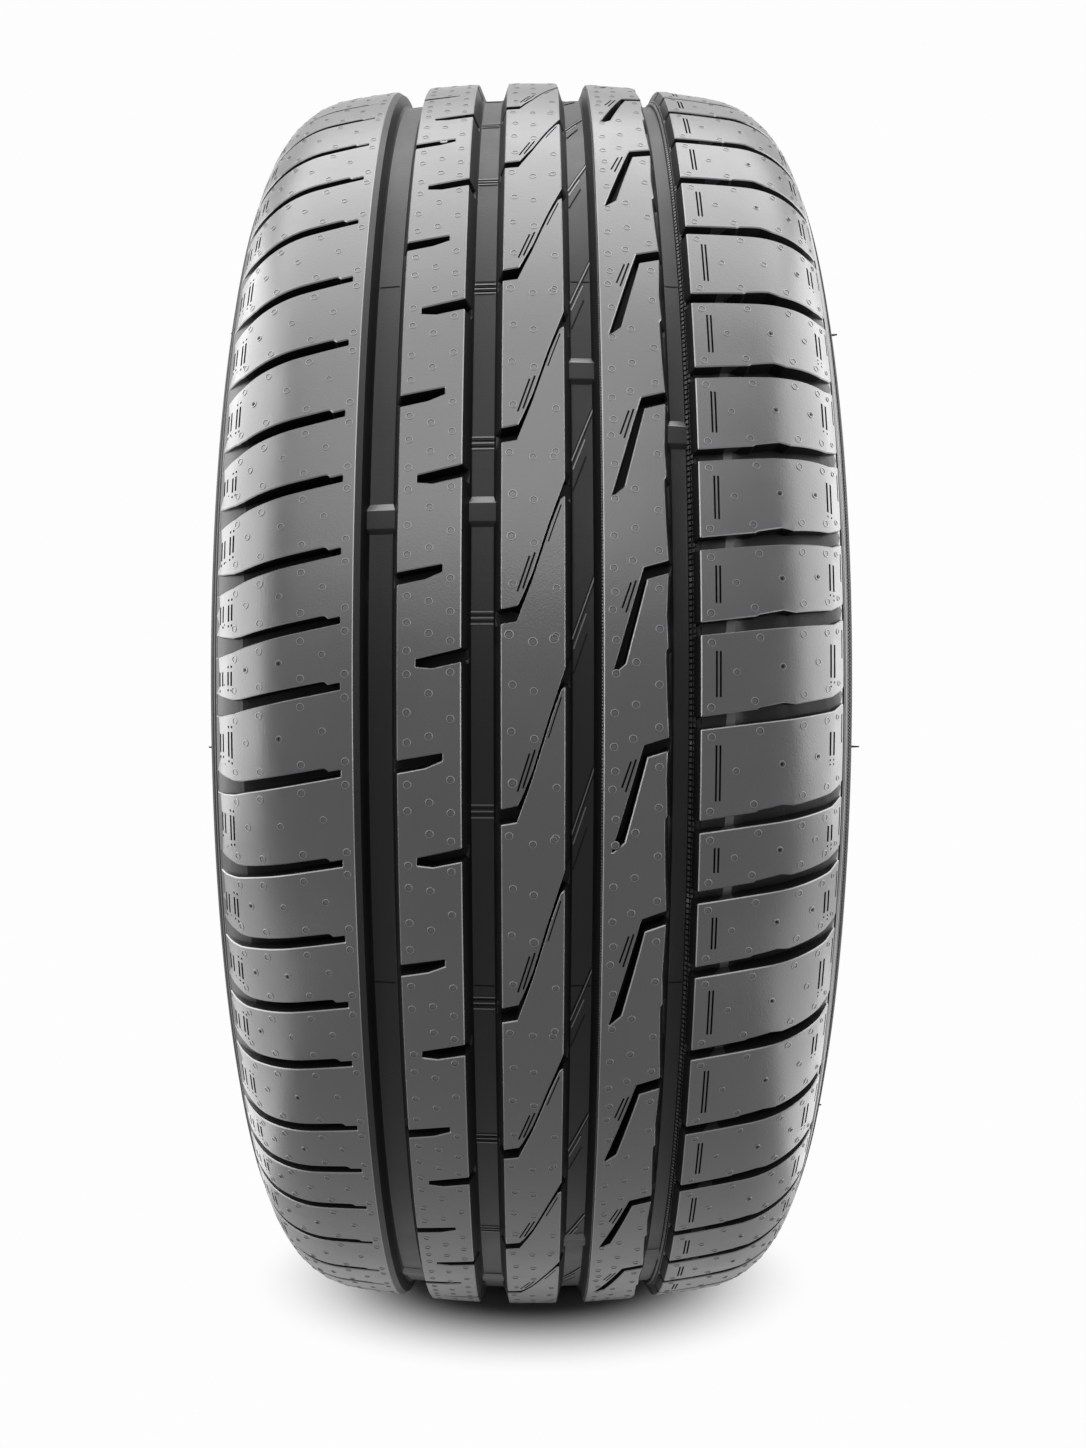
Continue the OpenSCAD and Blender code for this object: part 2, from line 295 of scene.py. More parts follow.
vents = {
    "sides": 12,
    "rings": ((1.7, -0.1), (1.46, 0.14), (1.2, 0.14), (1.0, -0.02), (0.72, -0.02)),   # radius, height
    # On a vent, the edge rubber on the ring's top is a painted highlight and the groove rubber on its inner
    # flank painted shade.
    "bands": ("land", "edge", "groove", "land"),      # finishes between the rings
    "root": 0.35,             # depth of the point below
    "plate": 0.04,            # depth of the middle
}


def edgeValues(kind, t, floor):
    # The three values of the edge, and the finish of its foot
    top, lean, foot = edges[kind]
    depth, finish = floor(t)
    if foot is None:
        return np.array([top, lean, depth, finish])
    # The foot of a sipe takes the slot rubber and other feet the groove rubber, both painted shade.
    return np.array([top, lean, foot, finishes["slot" if kind == "sipe" else "groove"]])


def roundedLine(corners, wrap, floor):
    # corners: (t, s, kind of the edge that follows, optional rounding). wrap: what s gains in one lap.
    count = len(corners)
    spot = [np.array(c[:2], float) for c in corners]
    lap = np.array([0.0, wrap])
    bends = []
    for i in range(count):
        come = spot[i] - (spot[i - 1] - (lap if i == 0 else 0))
        go = spot[(i + 1) % count] + (lap if i == count - 1 else 0) - spot[i]
        comeLength, goLength = np.hypot(*come), np.hypot(*go)
        come, go = come / comeLength, go / goLength
        turn = math.atan2(come[0] * go[1] - come[1] * go[0], come @ go)
        kinds = (corners[i - 1][2], corners[i][2])
        radius = corners[i][3] if len(corners[i]) > 3 else tread["corner"]
        if abs(turn) < tread["straight"]:
            bends.append(([spot[i]], [1.0], kinds))
            continue
        back = min(radius * math.tan(abs(turn) / 2), tread["bendShare"] * comeLength,
                   tread["bendShare"] * goLength)
        parts = max(2, math.ceil(abs(turn) / tread["bendStep"]))
        start, end = spot[i] - come * back, spot[i] + go * back
        shares = [k / parts for k in range(parts + 1)]
        bend = [(1 - u) ** 2 * start + 2 * u * (1 - u) * spot[i] + u * u * end for u in shares]
        bends.append((bend, shares, kinds))
    points, values = [], []
    for i in range(count):
        bend, shares, (before, after) = bends[i]
        for p, u in zip(bend, shares):
            points.append(p)
            values.append((1 - u) * edgeValues(before, p[0], floor) + u * edgeValues(after, p[0], floor))
        gap = bends[(i + 1) % count][0][0] + (lap if i == count - 1 else 0) - bend[-1]
        parts = math.ceil(np.hypot(*gap) / tread["edgeStep"])
        for k in range(1, parts):
            p = bend[-1] + gap * k / parts
            points.append(p)
            values.append(edgeValues(after, p[0], floor))
    return np.array(points), np.array(values)


def shifted(points, wrap, distance):
    # Moves a closed line towards its right-hand side
    before, after = np.roll(points, 1, axis=0), np.roll(points, -1, axis=0)
    before[0, 1] -= wrap
    after[-1, 1] += wrap
    first, second = rightOf(points - before), rightOf(after - points)
    spread = np.maximum(1 + (first * second).sum(axis=1), tread["leastSpread"])
    return points + (first + second) * (distance / spread)[:, None]


def laps(where, outlines):
    # How many of the outlines each point lies in
    count = np.zeros(len(where), int)
    for outline in outlines:
        low, high = outline.min(axis=0), outline.max(axis=0)
        near = np.nonzero(((where >= low) & (where <= high)).all(axis=1))[0]
        x, y = where[near, 0][:, None], where[near, 1][:, None]
        x0, y0 = outline[:, 0][None, :], outline[:, 1][None, :]
        x1, y1 = np.roll(outline[:, 0], -1)[None, :], np.roll(outline[:, 1], -1)[None, :]
        crosses = (y0 > y) != (y1 > y)
        rise = np.where(y1 == y0, 1.0, y1 - y0)
        count[near] += (crosses & (x < x0 + (y - y0) * (x1 - x0) / rise)).sum(axis=1) % 2
    return count


def strip(a, b, width):
    # The outline of a straight line of this width between two places
    a, b = np.array(a, float), np.array(b, float)
    side = -rightOf(b - a) * width / 2
    parts = max(1, int(np.hypot(*(b - a)) / tread["markStep"]))
    steps = [a + (b - a) * k / parts for k in range(parts + 1)]
    return [p - side for p in steps] + [p + side for p in steps[::-1]]


def dot(t, s, size):
    # The outline of a dot, with six corners
    return [(t + size / 2 * math.cos(k * math.pi / 3), s + size / 2 * math.sin(k * math.pi / 3))
            for k in range(6)]


class Row:
    # One row of the tread as a net of closed lines, each point with its depth under the surface

    def __init__(self, start, end, startDepth, endDepth, slotFloor, voidFloor):
        self.start, self.end, self.middle = start, end, (start + end) / 2
        self.slotFloor, self.voidFloor = slotFloor, voidFloor
        self.points, self.depths, self.codes, self.links = [], [], [], []
        self.insides, self.feet, self.marks = [], [], []
        self.bits, self.holes, self.blocks, self.blockCodes = [], [], [], []
        self.innerFirst, self.outerFirst = [
            self.circle(t, depth, "groove" if depth > 0 else "land")
            for t, depth in ((start, startDepth), (end, endDepth))]

    def flat(self, points):
        # The row laid out as a flat ring, so that it has no seam
        reach = section["outerRadius"] + points[:, 0] - self.middle
        turn = points[:, 1] / section["outerRadius"]
        return np.stack([reach * np.cos(turn), reach * np.sin(turn)], axis=1)

    def line(self, points, depths, codes):
        # codes: the numbers of the finishes
        first, count = len(self.points), len(points)
        self.points.extend(points.tolist())
        self.depths.extend(np.broadcast_to(depths, count).tolist())
        self.codes.extend(np.broadcast_to(codes, count).tolist())
        self.links.extend((first + i, first + (i + 1) % count) for i in range(count))
        return first

    def circle(self, t, depth, finish, steps=stepsAround):
        points = np.stack([np.full(steps, t), np.arange(steps) * around / steps], axis=1)
        return self.line(points, depth, finishes[finish])

    def edge(self, corners, wrap=0.0, hole=False):
        # An edge of the tread, with the land on the left-hand side
        if wrap == 0.0:
            area = sum(a[0] * b[1] - b[0] * a[1] for a, b in zip(corners, corners[1:] + corners[:1]))
            if (area < 0) != hole:
                kinds = [c[2] for c in corners]
                corners = [(c[0], c[1], kinds[i - 1]) + tuple(c[3:]) for i, c in enumerate(corners)][::-1]
        points, values = roundedLine(corners, wrap, self.slotFloor)
        top, lean, foot, finish = values.T
        moved = shifted(points, wrap, -top)
        self.insides.append(self.flat(moved))
        self.line(moved, 0.0, finishes["land"])
        # The bevel takes the edge rubber, a painted highlight.
        self.line(points, top, finishes["edge"])
        moved = shifted(points, wrap, lean)
        self.feet.append(self.flat(moved))
        # The wall and the floor at its foot take the foot's finish, mostly painted groove or slot shade.
        self.line(moved, foot, np.round(finish))

    def straightEdge(self, t, kind, lap):
        count = tread["straightPoints"]
        self.edge([(t, lap * k / count, kind) for k in range(count)], lap)

    def grooveFoot(self, t, side, kind):
        # These rings take the groove rubber, painted shade on the groove's floor.
        for out, depth in grooves["foot"]:
            self.circle(t + side * (edges[kind][1] + out), depth, "groove", tread["footSteps"])

    def mark(self, outline, depth=tread["markDepth"]):
        # A small line or dot, sunk into the land
        points = np.array(outline, float)
        after = np.roll(points, -1, axis=0)
        if np.sum(points[:, 0] * after[:, 1] - points[:, 1] * after[:, 0]) < 0:
            points = points[::-1]
        self.line(points, 0.0, finishes["land"])
        # The walls and floor of the sunk mark take the slot rubber, painted dark as shade.
        self.line(shifted(points, 0.0, -tread["markInset"]), depth, finishes["slot"])
        self.marks.append(self.flat(shifted(points, 0.0, tread["markClear"])))

    def marksAt(self, s, lines, stretch):
        for (t, ds), (tEnd, dsEnd), width in lines:
            self.mark(strip((t, s + ds * stretch), (tEnd, s + dsEnd * stretch), width))

    def vent(self, t, s, size=1.0, hole=False):
        # What the mould's vent leaves: a low ring with a plate in it. Where a vent should have a small
        # hole, its plate is painted dark with the slot rubber instead.
        turns = np.arange(vents["sides"]) * 2 * math.pi / vents["sides"]
        t0, s0, depth = [0.0], [0.0], [vents["root"]]
        for radius, height in vents["rings"]:
            t0.extend(radius * size * np.cos(turns))
            s0.extend(radius * size * np.sin(turns))
            depth.extend([-height] * vents["sides"])
        t0, s0, depth = np.array(t0 + [0.0]), np.array(s0 + [0.0]), depth + [vents["plate"]]
        self.bits.append(np.stack([t + t0, s + s0, depth], axis=1))
        self.holes.append(hole)

    def ventsAt(self, s, places, stretch=1.0):
        for t, ds in places:
            self.vent(t, s + ds * stretch)

    def block(self, outline, bottomDepth, topDepth, finish="groove"):
        # A small solid on a floor or wall, over an outline of four corners. By default it takes the groove
        # rubber, painted shade.
        low = [(t, s, bottomDepth) for t, s in outline]
        self.blocks.append(low + [(t, s, d) for (t, s), d in zip(outline, np.broadcast_to(topDepth, 4))])
        self.blockCodes.append(finishes[finish])

    def teeth(self, pitch, half, bottomDepth, rows, finish):
        # Small solids all the way round. rows: between which places across, and the depths of their tops
        count = round(around / pitch)
        for k in range(count):
            s = around * k / count
            for (low, high), depths in rows:
                self.block([(low, s - half), (high, s - half), (high, s + half), (low, s + half)],
                           bottomDepth, depths, finish)

    def ridge(self, a, b, width, bottomDepth, height, finish):
        # A low straight ridge between two places on a floor
        middle = ((a[0] + b[0]) / 2, (a[1] + b[1]) / 2)
        for start, end in ((a, middle), (middle, b)):
            side = rightOf(np.array(end) - start) * width / 2
            self.block([start + side, end + side, end - side, start - side],
                       bottomDepth + tread["blockRoot"], bottomDepth - height, finish)

    def scattered(self):
        # Points inside the lands and on the floors, clear of the lines, with their depths and finishes
        step = tread["landStep"]
        across = np.arange(self.start + step * tread["landStart"], self.end, step)
        count = int(around / step)
        t, s = np.meshgrid(across, np.arange(count) * around / count)
        s = s + (np.arange(len(across)) % 2)[None, :] * step * 0.5
        grid = np.stack([t.ravel(), s.ravel()], axis=1)
        where = self.flat(grid)
        onLand = laps(where, self.insides) % 2 == 1
        inVoid = laps(where, self.feet) % 2 == 0
        depth, code = self.voidFloor(grid[:, 0])
        depth, code = np.where(onLand, 0.0, depth), np.where(onLand, finishes["land"], code)
        wanted = (onLand | inVoid) & (laps(where, self.marks) == 0) & ~np.isnan(depth)
        lines = self.flat(np.array(self.points))
        finder = KDTree(len(lines))
        for i, p in enumerate(lines.tolist()):
            finder.insert((p[0], p[1], 0.0), i)
        finder.balance()
        keep = [i for i in np.nonzero(wanted)[0]
                if finder.find((where[i, 0], where[i, 1], 0.0))[2] > tread["clear"]]
        return grid[keep], depth[keep], code[keep]

    def joined(self):
        # Joins the lines and the scattered points with triangles; source says which point each one was
        grid, depth, code = self.scattered()
        given = np.vstack([np.array(self.points), grid])
        givenDepth, givenCode = np.concatenate([self.depths, depth]), np.concatenate([self.codes, code])
        found, _, triangles, sources, _, _ = delaunay_2d_cdt(
            [Vector(p) for p in self.flat(given).tolist()], self.links, [], 0, tread["join"], True)
        found, triangles = np.array([tuple(p) for p in found]), np.array(triangles)
        source = np.array([known[0] if known else -1 for known in sources])
        known = source >= 0
        t = np.where(known, given[source, 0],
                     np.hypot(found[:, 0], found[:, 1]) - section["outerRadius"] + self.middle)
        s = np.where(known, given[source, 1], np.arctan2(found[:, 1], found[:, 0]) * section["outerRadius"])
        depth = np.where(known, givenDepth[source], np.nan)
        # A point where two lines cross takes the mean depth of its neighbours.
        for lost in np.nonzero(~known)[0]:
            near = depth[triangles[(triangles == lost).any(axis=1)].ravel()]
            depth[lost] = np.nanmean(near) if not np.isnan(near).all() else 0.0
        return placed(t, s, depth), triangles, np.where(known, givenCode[source], finishes["land"]), source

    def finished(self, name):
        # Closes the joined row below, and adds its vents and blocks
        top, triangles, code, source = self.joined()
        ends = []
        for first in (self.outerFirst, self.innerFirst):
            vertexOf = {int(a): i for i, a in enumerate(source) if first <= a < first + stepsAround}
            ends.append(np.array([vertexOf[first + i] for i in range(stepsAround)]))
            onRing = np.isin(source, np.arange(first, first + stepsAround))
            triangles = triangles[~onRing[triangles].all(axis=1)]
        points, total, rings = [top], len(top), [ends[0]]
        s = np.arange(stepsAround) * around / stepsAround
        for t in np.linspace(self.end, self.start, 2 + int((self.end - self.start) / tread["soleStep"])):
            points.append(placed(np.full(stepsAround, t), s, tread["sole"]))
            rings.append(np.arange(total, total + stepsAround))
            total += stepsAround
        rings.append(ends[1])
        quads = np.vstack([np.stack([a, b, np.roll(b, -1), np.roll(a, -1)], axis=1)
                           for a, b in zip(rings, rings[1:])])
        faceSets = [triangles, quads]
        codes = [code[triangles].max(axis=1), np.full(len(quads), finishes["land"])]

        # Each vent: a fan below, the bands between its rings, and a fan that is its plate; where the plate
        # stands for a hole it takes the slot rubber, painted dark as the hole's shade
        bits, sides, each = np.vstack(self.bits), vents["sides"], len(self.bits[0])
        points.append(placed(bits[:, 0], bits[:, 1], bits[:, 2]))
        inner = each - 1 - sides
        fans = [[0, 1 + (k + 1) % sides, 1 + k] for k in range(sides)]
        fans += [[each - 1, inner + k, inner + (k + 1) % sides] for k in range(sides)]
        bands = [[b + k, b + (k + 1) % sides, b + sides + (k + 1) % sides, b + sides + k]
                 for b in range(1, inner, sides) for k in range(sides)]
        faceSets += [copies(fans, len(self.bits), each, total), copies(bands, len(self.bits), each, total)]
        codes.append(np.outer(self.holes, np.arange(2 * sides) >= sides).ravel() * finishes["slot"])
        codes.append(np.tile(np.repeat([finishes[band] for band in vents["bands"]], sides), len(self.bits)))
        total += each * len(self.bits)

        if self.blocks:
            blocks = np.vstack(self.blocks)
            points.append(placed(blocks[:, 0], blocks[:, 1], blocks[:, 2]))
            faceSets.append(copies(boxFaces, len(self.blocks), 8, total))
            codes.append(np.repeat(self.blockCodes, len(boxFaces)))
        mesh(name, np.vstack(points), faceSets, np.concatenate(codes))


mainPitches = 29              # slots in each row of the ribs
pitchStray = 3.0              # how far the slots at the back stray from even pitches
strayWaves = 3
meanPitch = around / mainPitches


def stationsOf(row, count):
    # row: the place of its highest slot on the front, and the pitches down from there
    top, pitches = row
    seen, last = len(pitches), top - sum(pitches)
    places = [top - sum(pitches[:i]) for i in range(seen + 1)]
    for i in range(seen + 1, count):
        part = (i - seen) / (count - seen)
        stray = pitchStray * math.sin(math.radians(360 * strayWaves * part))
        places.append(last - (around - sum(pitches)) * part + stray)
    return places


def gapsBetween(s):
    # Distance from each slot down to the next one
    return [a - b for a, b in zip(s, s[1:] + [s[0] - around])]


def cornersAt(s, places, kinds, stretch=1.0):
    return [(t, s + ds * stretch, kind) for (t, ds), kind in zip(places, kinds)]


grooves = {
    # The two edges of grooves 1 to 4, from the shoulder on the -Y side to the other one
    "spans": ((-66.5, -50.0), (-26.0, -11.3), (12.5, 26.7), (51.0, 63.0)),
    "foot": [(0.18, 6.9), (0.9, 7.8), (1.7, 8.0)],   # past the wall's foot: how far, and the depth there
    # No points are scattered on the walls: from this far inside their edges to this far outside.
    "inside": 0.5,
    "outside": 4.2,
    "outsideSloped": 5.0,
}
middles = [(low + high) / 2 for low, high in grooves["spans"]]


# The rib's slot floors take the slot rubber and the groove floors the groove rubber, both painted shade.
def ribFloor(t):
    return tread["slotDepth"], finishes["slot"]


def ribRow(place):
    # The row of a rib, from the middle of one groove to the middle of the next, and the rib's two edges
    low, high = grooves["spans"][place][1], grooves["spans"][place + 1][0]

    def voidFloor(t):
        out = np.maximum(low - t, t - high)
        inRib = out < -grooves["inside"]
        floor = np.where(out > grooves["outside"], tread["grooveDepth"], np.nan)
        return (np.where(inRib, tread["slotDepth"], floor),
                np.where(inRib, finishes["slot"], finishes["groove"]))
    start, end = middles[place:place + 2]
    return Row(start, end, tread["grooveDepth"], tread["grooveDepth"], ribFloor, voidFloor), low, high


rib2 = {
    "leftRow": (327.6, [67.5, 75.5, 77.5, 71.5, 70.5, 81, 81.5, 71]),
    "rightRow": (291.6, [67, 74.5, 74.5, 70.5, 75, 83, 74.5, 75]),
    "leftSlot": [(-50, 1.6), (-33, 4.6), (-33, 1.7), (-39.5, -1.1), (-50, -3.2)],
    "leftKinds": ["slot", "slot", "slot", "slot", "groove"],
    "rightSlot": [(-26, -1.6), (-37, -4), (-43, -3.4), (-43, -0.6), (-27.4, 3.1), (-26, 3.6)],
    "rightKinds": ["slot", "slot", "run-out", "slot", "slot", "groove"],
    "leftVents": [(-46.2, -17.4), (-46.2, -7.4), (-46.2, 8.4), (-46.2, 19.6), (-46.2, 33.8), (-46.2, 42.6)],
    "rightVents": [(-30, -22.7), (-30, -5.5), (-30, 6.2), (-30, 17.1), (-30, 29.6),
                   (-38, -13.3), (-38, -29.2), (-38, 9), (-38, 21)],
}


def buildRib2():
    row, low, high = ribRow(0)
    leftStations = stationsOf(rib2["leftRow"], mainPitches)
    rightStations = stationsOf(rib2["rightRow"], mainPitches)
    row.edge([corner for s in leftStations for corner in cornersAt(s, rib2["leftSlot"], rib2["leftKinds"])],
             -around)
    row.edge([corner for s in rightStations[::-1]
              for corner in cornersAt(s, rib2["rightSlot"], rib2["rightKinds"])], around)
    row.grooveFoot(low, -1, "groove")
    row.grooveFoot(high, 1, "groove")
    for s in leftStations:
        row.ventsAt(s, rib2["leftVents"])
    for s in rightStations:
        row.ventsAt(s, rib2["rightVents"])
    row.finished("tread_rib_2")


centreRib = {
    "row": (301.9, [63.5, 72.5, 74.5, 70.5, 74.5, 81, 73, 72.5]),
    # The two sides of the cut: from the notch on the left, up and across the rib
    "upperSide": [(-11.3, 2.1), (-5, 3.5), (-3.5, 6.7), (0.5, 16.4), (6, 34), (12.5, 53)],
    "upperKinds": ["slot", "slot", "sipe", "sipe", "sipe", "groove"],
    "lowerSide": [(-11.3, -3.5), (-5.4, -2.5), (0.3, 13), (7.3, 35), (11.0, 45), (12.5, 46.4)],
    "lowerKinds": ["slot", "sipe", "sipe", "sipe", "slot", "groove"],     # from its upper end down
    # Sunk lines: their two ends and their width
    "lines": [((-5.2, 8.7), (-0.7, 22.4), 0.7), ((-3.2, 9.9), (1.3, 23.7), 0.7),
              ((6.2, 27.9), (11, 42.4), 0.5)],
    # On the floors beside the rib: low ridges across groove 2, slanted ones and a plate in groove 3. Ridges
    # in the slot rubber are painted dark as shade beside paler ones in land rubber, and the plate takes the
    # groove rubber's painted shade.
    "floorRidges": [((-23.2, 2.4), (-14.4, 2.4), "low land"), ((-23.2, 1.2), (-14.4, 1.2), "slot"),
                    ((-23.2, 0), (-14.4, 0), "low land"), ((-23.2, -1.2), (-14.4, -1.2), "slot"),
                    ((-23.2, -2.4), (-14.4, -2.4), "low land"), ((15.4, 65), (24.4, 89.5), "slot"),
                    ((15.4, 63.6), (24.4, 88.1), "low land"), ((15.4, 62.2), (24.4, 86.7), "slot"),
                    ((15.9, 60.2), (20.7, 73.2), "low land"), ((15.9, 51.2), (21, 65.8), "slot")],
    "ridgeWidth": 0.5,
    "ridgeHeight": 0.35,
    "floorPlate": [(15.9, 51.5), (21.0, 66), (20.7, 73), (15.9, 60)],
    "plateHeight": 0.3,
    "vents": [(-8.3, -7.5), (-7, 11.7), (-7.5, 30.1), (-7, 46.7), (1, 27.5), (0.8, 44.4), (0.5, 61.9),
              (9, 64), (9.3, 10.1), (8.3, -9.1)],
    "ventSizes": (0.95, 1.0, 1.15),
}


def buildCentreRib():
    row, low, high = ribRow(1)
    stations = stationsOf(centreRib["row"], mainPitches)
    gaps = gapsBetween(stations)
    stretch = [gaps[i - 1] / meanPitch for i in range(mainPitches)]
    for i in range(mainPitches):
        below = (i + 1) % mainPitches
        bottom = cornersAt(stations[i] - gaps[i], centreRib["upperSide"], centreRib["upperKinds"],
                           stretch[below])
        top = cornersAt(stations[i], centreRib["lowerSide"][::-1], centreRib["lowerKinds"], stretch[i])
        row.edge(bottom + top)
    row.grooveFoot(low, -1, "groove")
    row.grooveFoot(high, 1, "groove")
    floor = tread["grooveDepth"]
    for s, k in zip(stations, stretch):
        row.marksAt(s, centreRib["lines"], k)
        for t, ds in centreRib["vents"]:
            row.vent(t, s + ds * k, chance.choice(centreRib["ventSizes"]))
        for a, b, finish in centreRib["floorRidges"]:
            row.ridge((a[0], s + a[1] * k), (b[0], s + b[1] * k), centreRib["ridgeWidth"], floor,
                      centreRib["ridgeHeight"], finish)
        row.block([(t, s + ds * k) for t, ds in centreRib["floorPlate"]], floor + tread["blockRoot"],
                  floor - centreRib["plateHeight"])
    row.finished("tread_centre_rib")


rib4 = {
    "row": (326.2, [73.5, 74.5, 71, 68.5, 66.5, 67.5, 75.5, 72, 69]),
    # The slot, and the wavy edge from there to the next one
    "outline": [(51, -1.8), (43, -4.4), (34.8, -38.6), (29.8, -43.2), (41.2, -1.5), (41.8, 0.4), (51, 3.4),
                (50.3, 18), (49.9, 33), (49.9, 37.5), (50.7, 39), (50.2, 52), (50.6, 62)],
    "kinds": ["slot"] * 6 + ["groove"] * 7,
    "lines": [((33.5, -16.4), (36.9, -5.9), 0.7), ((34.9, -18.1), (38.7, -5.1), 0.7)],
    "vents": [(47.4, -24.6), (47.4, -8.4), (47.3, 7.4), (47.3, 24.3), (38.7, 33.1), (38.6, 16.4), (37.6, 3),
              (31.2, 28.6), (30.7, 13.1), (30.5, -0.2), (31, -9.9), (30, -17.1), (31.3, -29.2)],
    # Little teeth along the wall of groove 3: pitch, half length, depth of their foot, how far they
    # stand on each side of the edge, and the depths of their tops
    "teeth": (1.25, 0.3, 3.2, (-0.55, 0.3), (1.3, 0.45, 0.45, 1.3)),
}


def buildRib4():
    row, low, high = ribRow(2)
    stations = stationsOf(rib4["row"], mainPitches)
    stretch = [gap / meanPitch for gap in gapsBetween(stations)]
    row.straightEdge(low, "groove", -around)
    row.edge([corner for s, k in list(zip(stations, stretch))[::-1]
              for corner in cornersAt(s, rib4["outline"], rib4["kinds"], k)], around)
    row.grooveFoot(low, -1, "groove")
    row.grooveFoot(high, 1, "groove")
    pitch, half, bottom, (out, into), tops = rib4["teeth"]
    row.teeth(pitch, half, bottom, [((low + out, low + into), tops)], "land")
    for s, k in zip(stations, stretch):
        row.marksAt(s, rib4["lines"], k)
        row.ventsAt(s, rib4["vents"], k)
    row.finished("tread_rib_4")


def shoulderFloor(profile):
    # profile: arc length, depth there, and the finish from there outwards
    places, depths, kinds = zip(*profile)
    codes = np.array([finishes[kind] for kind in kinds])

    def floor(t):
        band = np.maximum(np.searchsorted(places, np.abs(t)) - 1, 0)
        return np.interp(np.abs(t), places, depths), codes[band]
    return floor


leftShoulder = {
    "slots": 67,
    "row": (332.6, [30.5, 35, 32, 32.5, 35, 33, 32.5, 27.5, 29, 26.5, 25, 33, 35, 31, 29, 28.5, 35.5, 27.5,
                    28.5, 34, 38]),
    "upper": [(-71.3, 1.9), (-76, 1.0), (-77.3, 2.1), (-78.5, 2.1), (-113, -4.4), (-118, -4.7),
              (-127, -3.5), (-133.4, -2)],
    "lower": [(-71.3, -0.8), (-90, -4.5), (-110, -8.5), (-118, -10.4), (-127, -11.3), (-133.4, -11.4)],
    # Deep slot floors take the slot rubber and shallow ones the groove rubber, both painted shade.
    "floor": [(70, 7.4, "slot"), (98, 7.2, "slot"), (108, 5.4, "slot"), (114, 3.4, "groove"),
              (121, 2.0, "groove"), (128, 1.0, "groove"), (133.4, 0.3, "groove")],
    "bevelFold": (2.2, 1.9),  # of groove 1's wide bevel: how far from the edge, and its depth
    # The groove rubber on the rim's rings is a painted shade line along the tread's edge.
    "rim": [(-133.9, 0.0, "groove"), (-134.5, 0.6, "groove"), (-136.8, 0.6, "sidewall")],
    "ventsAbove": [(-69.5, 5.1), (-86.5, 3.4), (-103.5, 0.2), (-117, -0.9)],
    "ventsBelow": [(-69.5, -3.8), (-86.5, -7.4), (-103.7, -10.8), (-116.5, -13.2)],
    "ventsMiddle": [(-78.2, -0.5), (-95, -3.8), (-110.3, -5.8)],
    "middleShift": 0.5,       # how far the middle vents lie above the middle of the pitch
    "middleSize": 0.9,
    # Some middle vents have their plate painted dark with the slot rubber, as a hole.
    "paintedHoleShare": 0.5,         # how many of the middle vents have a hole
    # Pairs of sunk lines: their places, share of the block's height, width, size of their dots, and how
    # many lines have a dot. Where all have one, they have one at each end.
    "linePairs": [((-121.0, -118.7), 0.42, 1.15, 1.2, 1.0), ((-128.4, -125.6), 0.38, 1.2, 1.3, 0.6)],
    "blockBase": -4.0,        # where the block above a slot begins
    "blockLoss": 8.5,         # by how much it is lower than the pitch
    "pairShift": (-0.05, 0.08),   # shares of the block's height, at random
    "pairStretch": (0.85, 1.1),
    "pairStagger": 0.8,
    "dotsBeyond": (2.0, 1.9, 2.0),    # the dots at both ends, upper and lower, and a single one
    "edgeDot": (-124.2, 1.6, 0.8),    # place and size of the dot at the slot
}


def buildLeftShoulder():
    edge = grooves["spans"][0][0]
    slotFloor = shoulderFloor(leftShoulder["floor"])

    def voidFloor(t):
        depth, code = slotFloor(t)
        outer = np.where(t < edge - grooves["inside"], depth, np.nan)
        return (np.where(t > edge + grooves["outsideSloped"], tread["grooveDepth"], outer),
                np.where(t > edge, finishes["groove"], code))
    row = Row(-treadEnd, middles[0], 0.0, tread["grooveDepth"], slotFloor, voidFloor)
    row.straightEdge(edge, "sloped", around)
    fold, depth = leftShoulder["bevelFold"]
    # The fold takes the groove rubber, so the lower part of the bevel is painted darker as shade.
    row.circle(edge + fold, depth, "groove")
    stations = stationsOf(leftShoulder["row"], leftShoulder["slots"])
    gaps = gapsBetween(stations)
    outline = leftShoulder["lower"] + leftShoulder["upper"][::-1]
    kinds = ["slot"] * len(outline)
    # The short edge between the two sides' outer ends
    kinds[len(leftShoulder["lower"]) - 1] = "run-out"
    for s in stations:
        row.edge(cornersAt(s, outline, kinds), hole=True)
    row.grooveFoot(edge, 1, "sloped")
    for t, depth, finish in leftShoulder["rim"]:
        row.circle(t, depth, finish)
    beyondUpper, beyondLower, beyondSingle = leftShoulder["dotsBeyond"]
    for i, s in enumerate(stations):
        upTo = gaps[i - 1]
        row.ventsAt(s, leftShoulder["ventsAbove"] + leftShoulder["ventsBelow"])
        for t, ds in leftShoulder["ventsMiddle"]:
            row.vent(t, s + upTo / 2 + leftShoulder["middleShift"] + ds, leftShoulder["middleSize"],
                     chance.random() < leftShoulder["paintedHoleShare"])
        height = upTo - leftShoulder["blockLoss"]
        for places, share, width, dotSize, dotShare in leftShoulder["linePairs"]:
            middle = (s + leftShoulder["blockBase"] + height / 2
                      + chance.uniform(*leftShoulder["pairShift"]) * height)
            half = share * height / 2 * chance.uniform(*leftShoulder["pairStretch"])
            for t in places:
                low, high = middle - half + chance.uniform(0, leftShoulder["pairStagger"]), middle + half
                row.mark(strip((t, low), (t, high), width))
                if dotShare == 1:
                    row.mark(dot(t, high + beyondUpper, dotSize))
                    row.mark(dot(t, low - beyondLower, dotSize))
                elif chance.random() < dotShare:
                    row.mark(dot(t, low - beyondSingle, dotSize))
        t, ds, size = leftShoulder["edgeDot"]
        row.mark(dot(t, s + ds, size))
    row.finished("tread_left_shoulder")


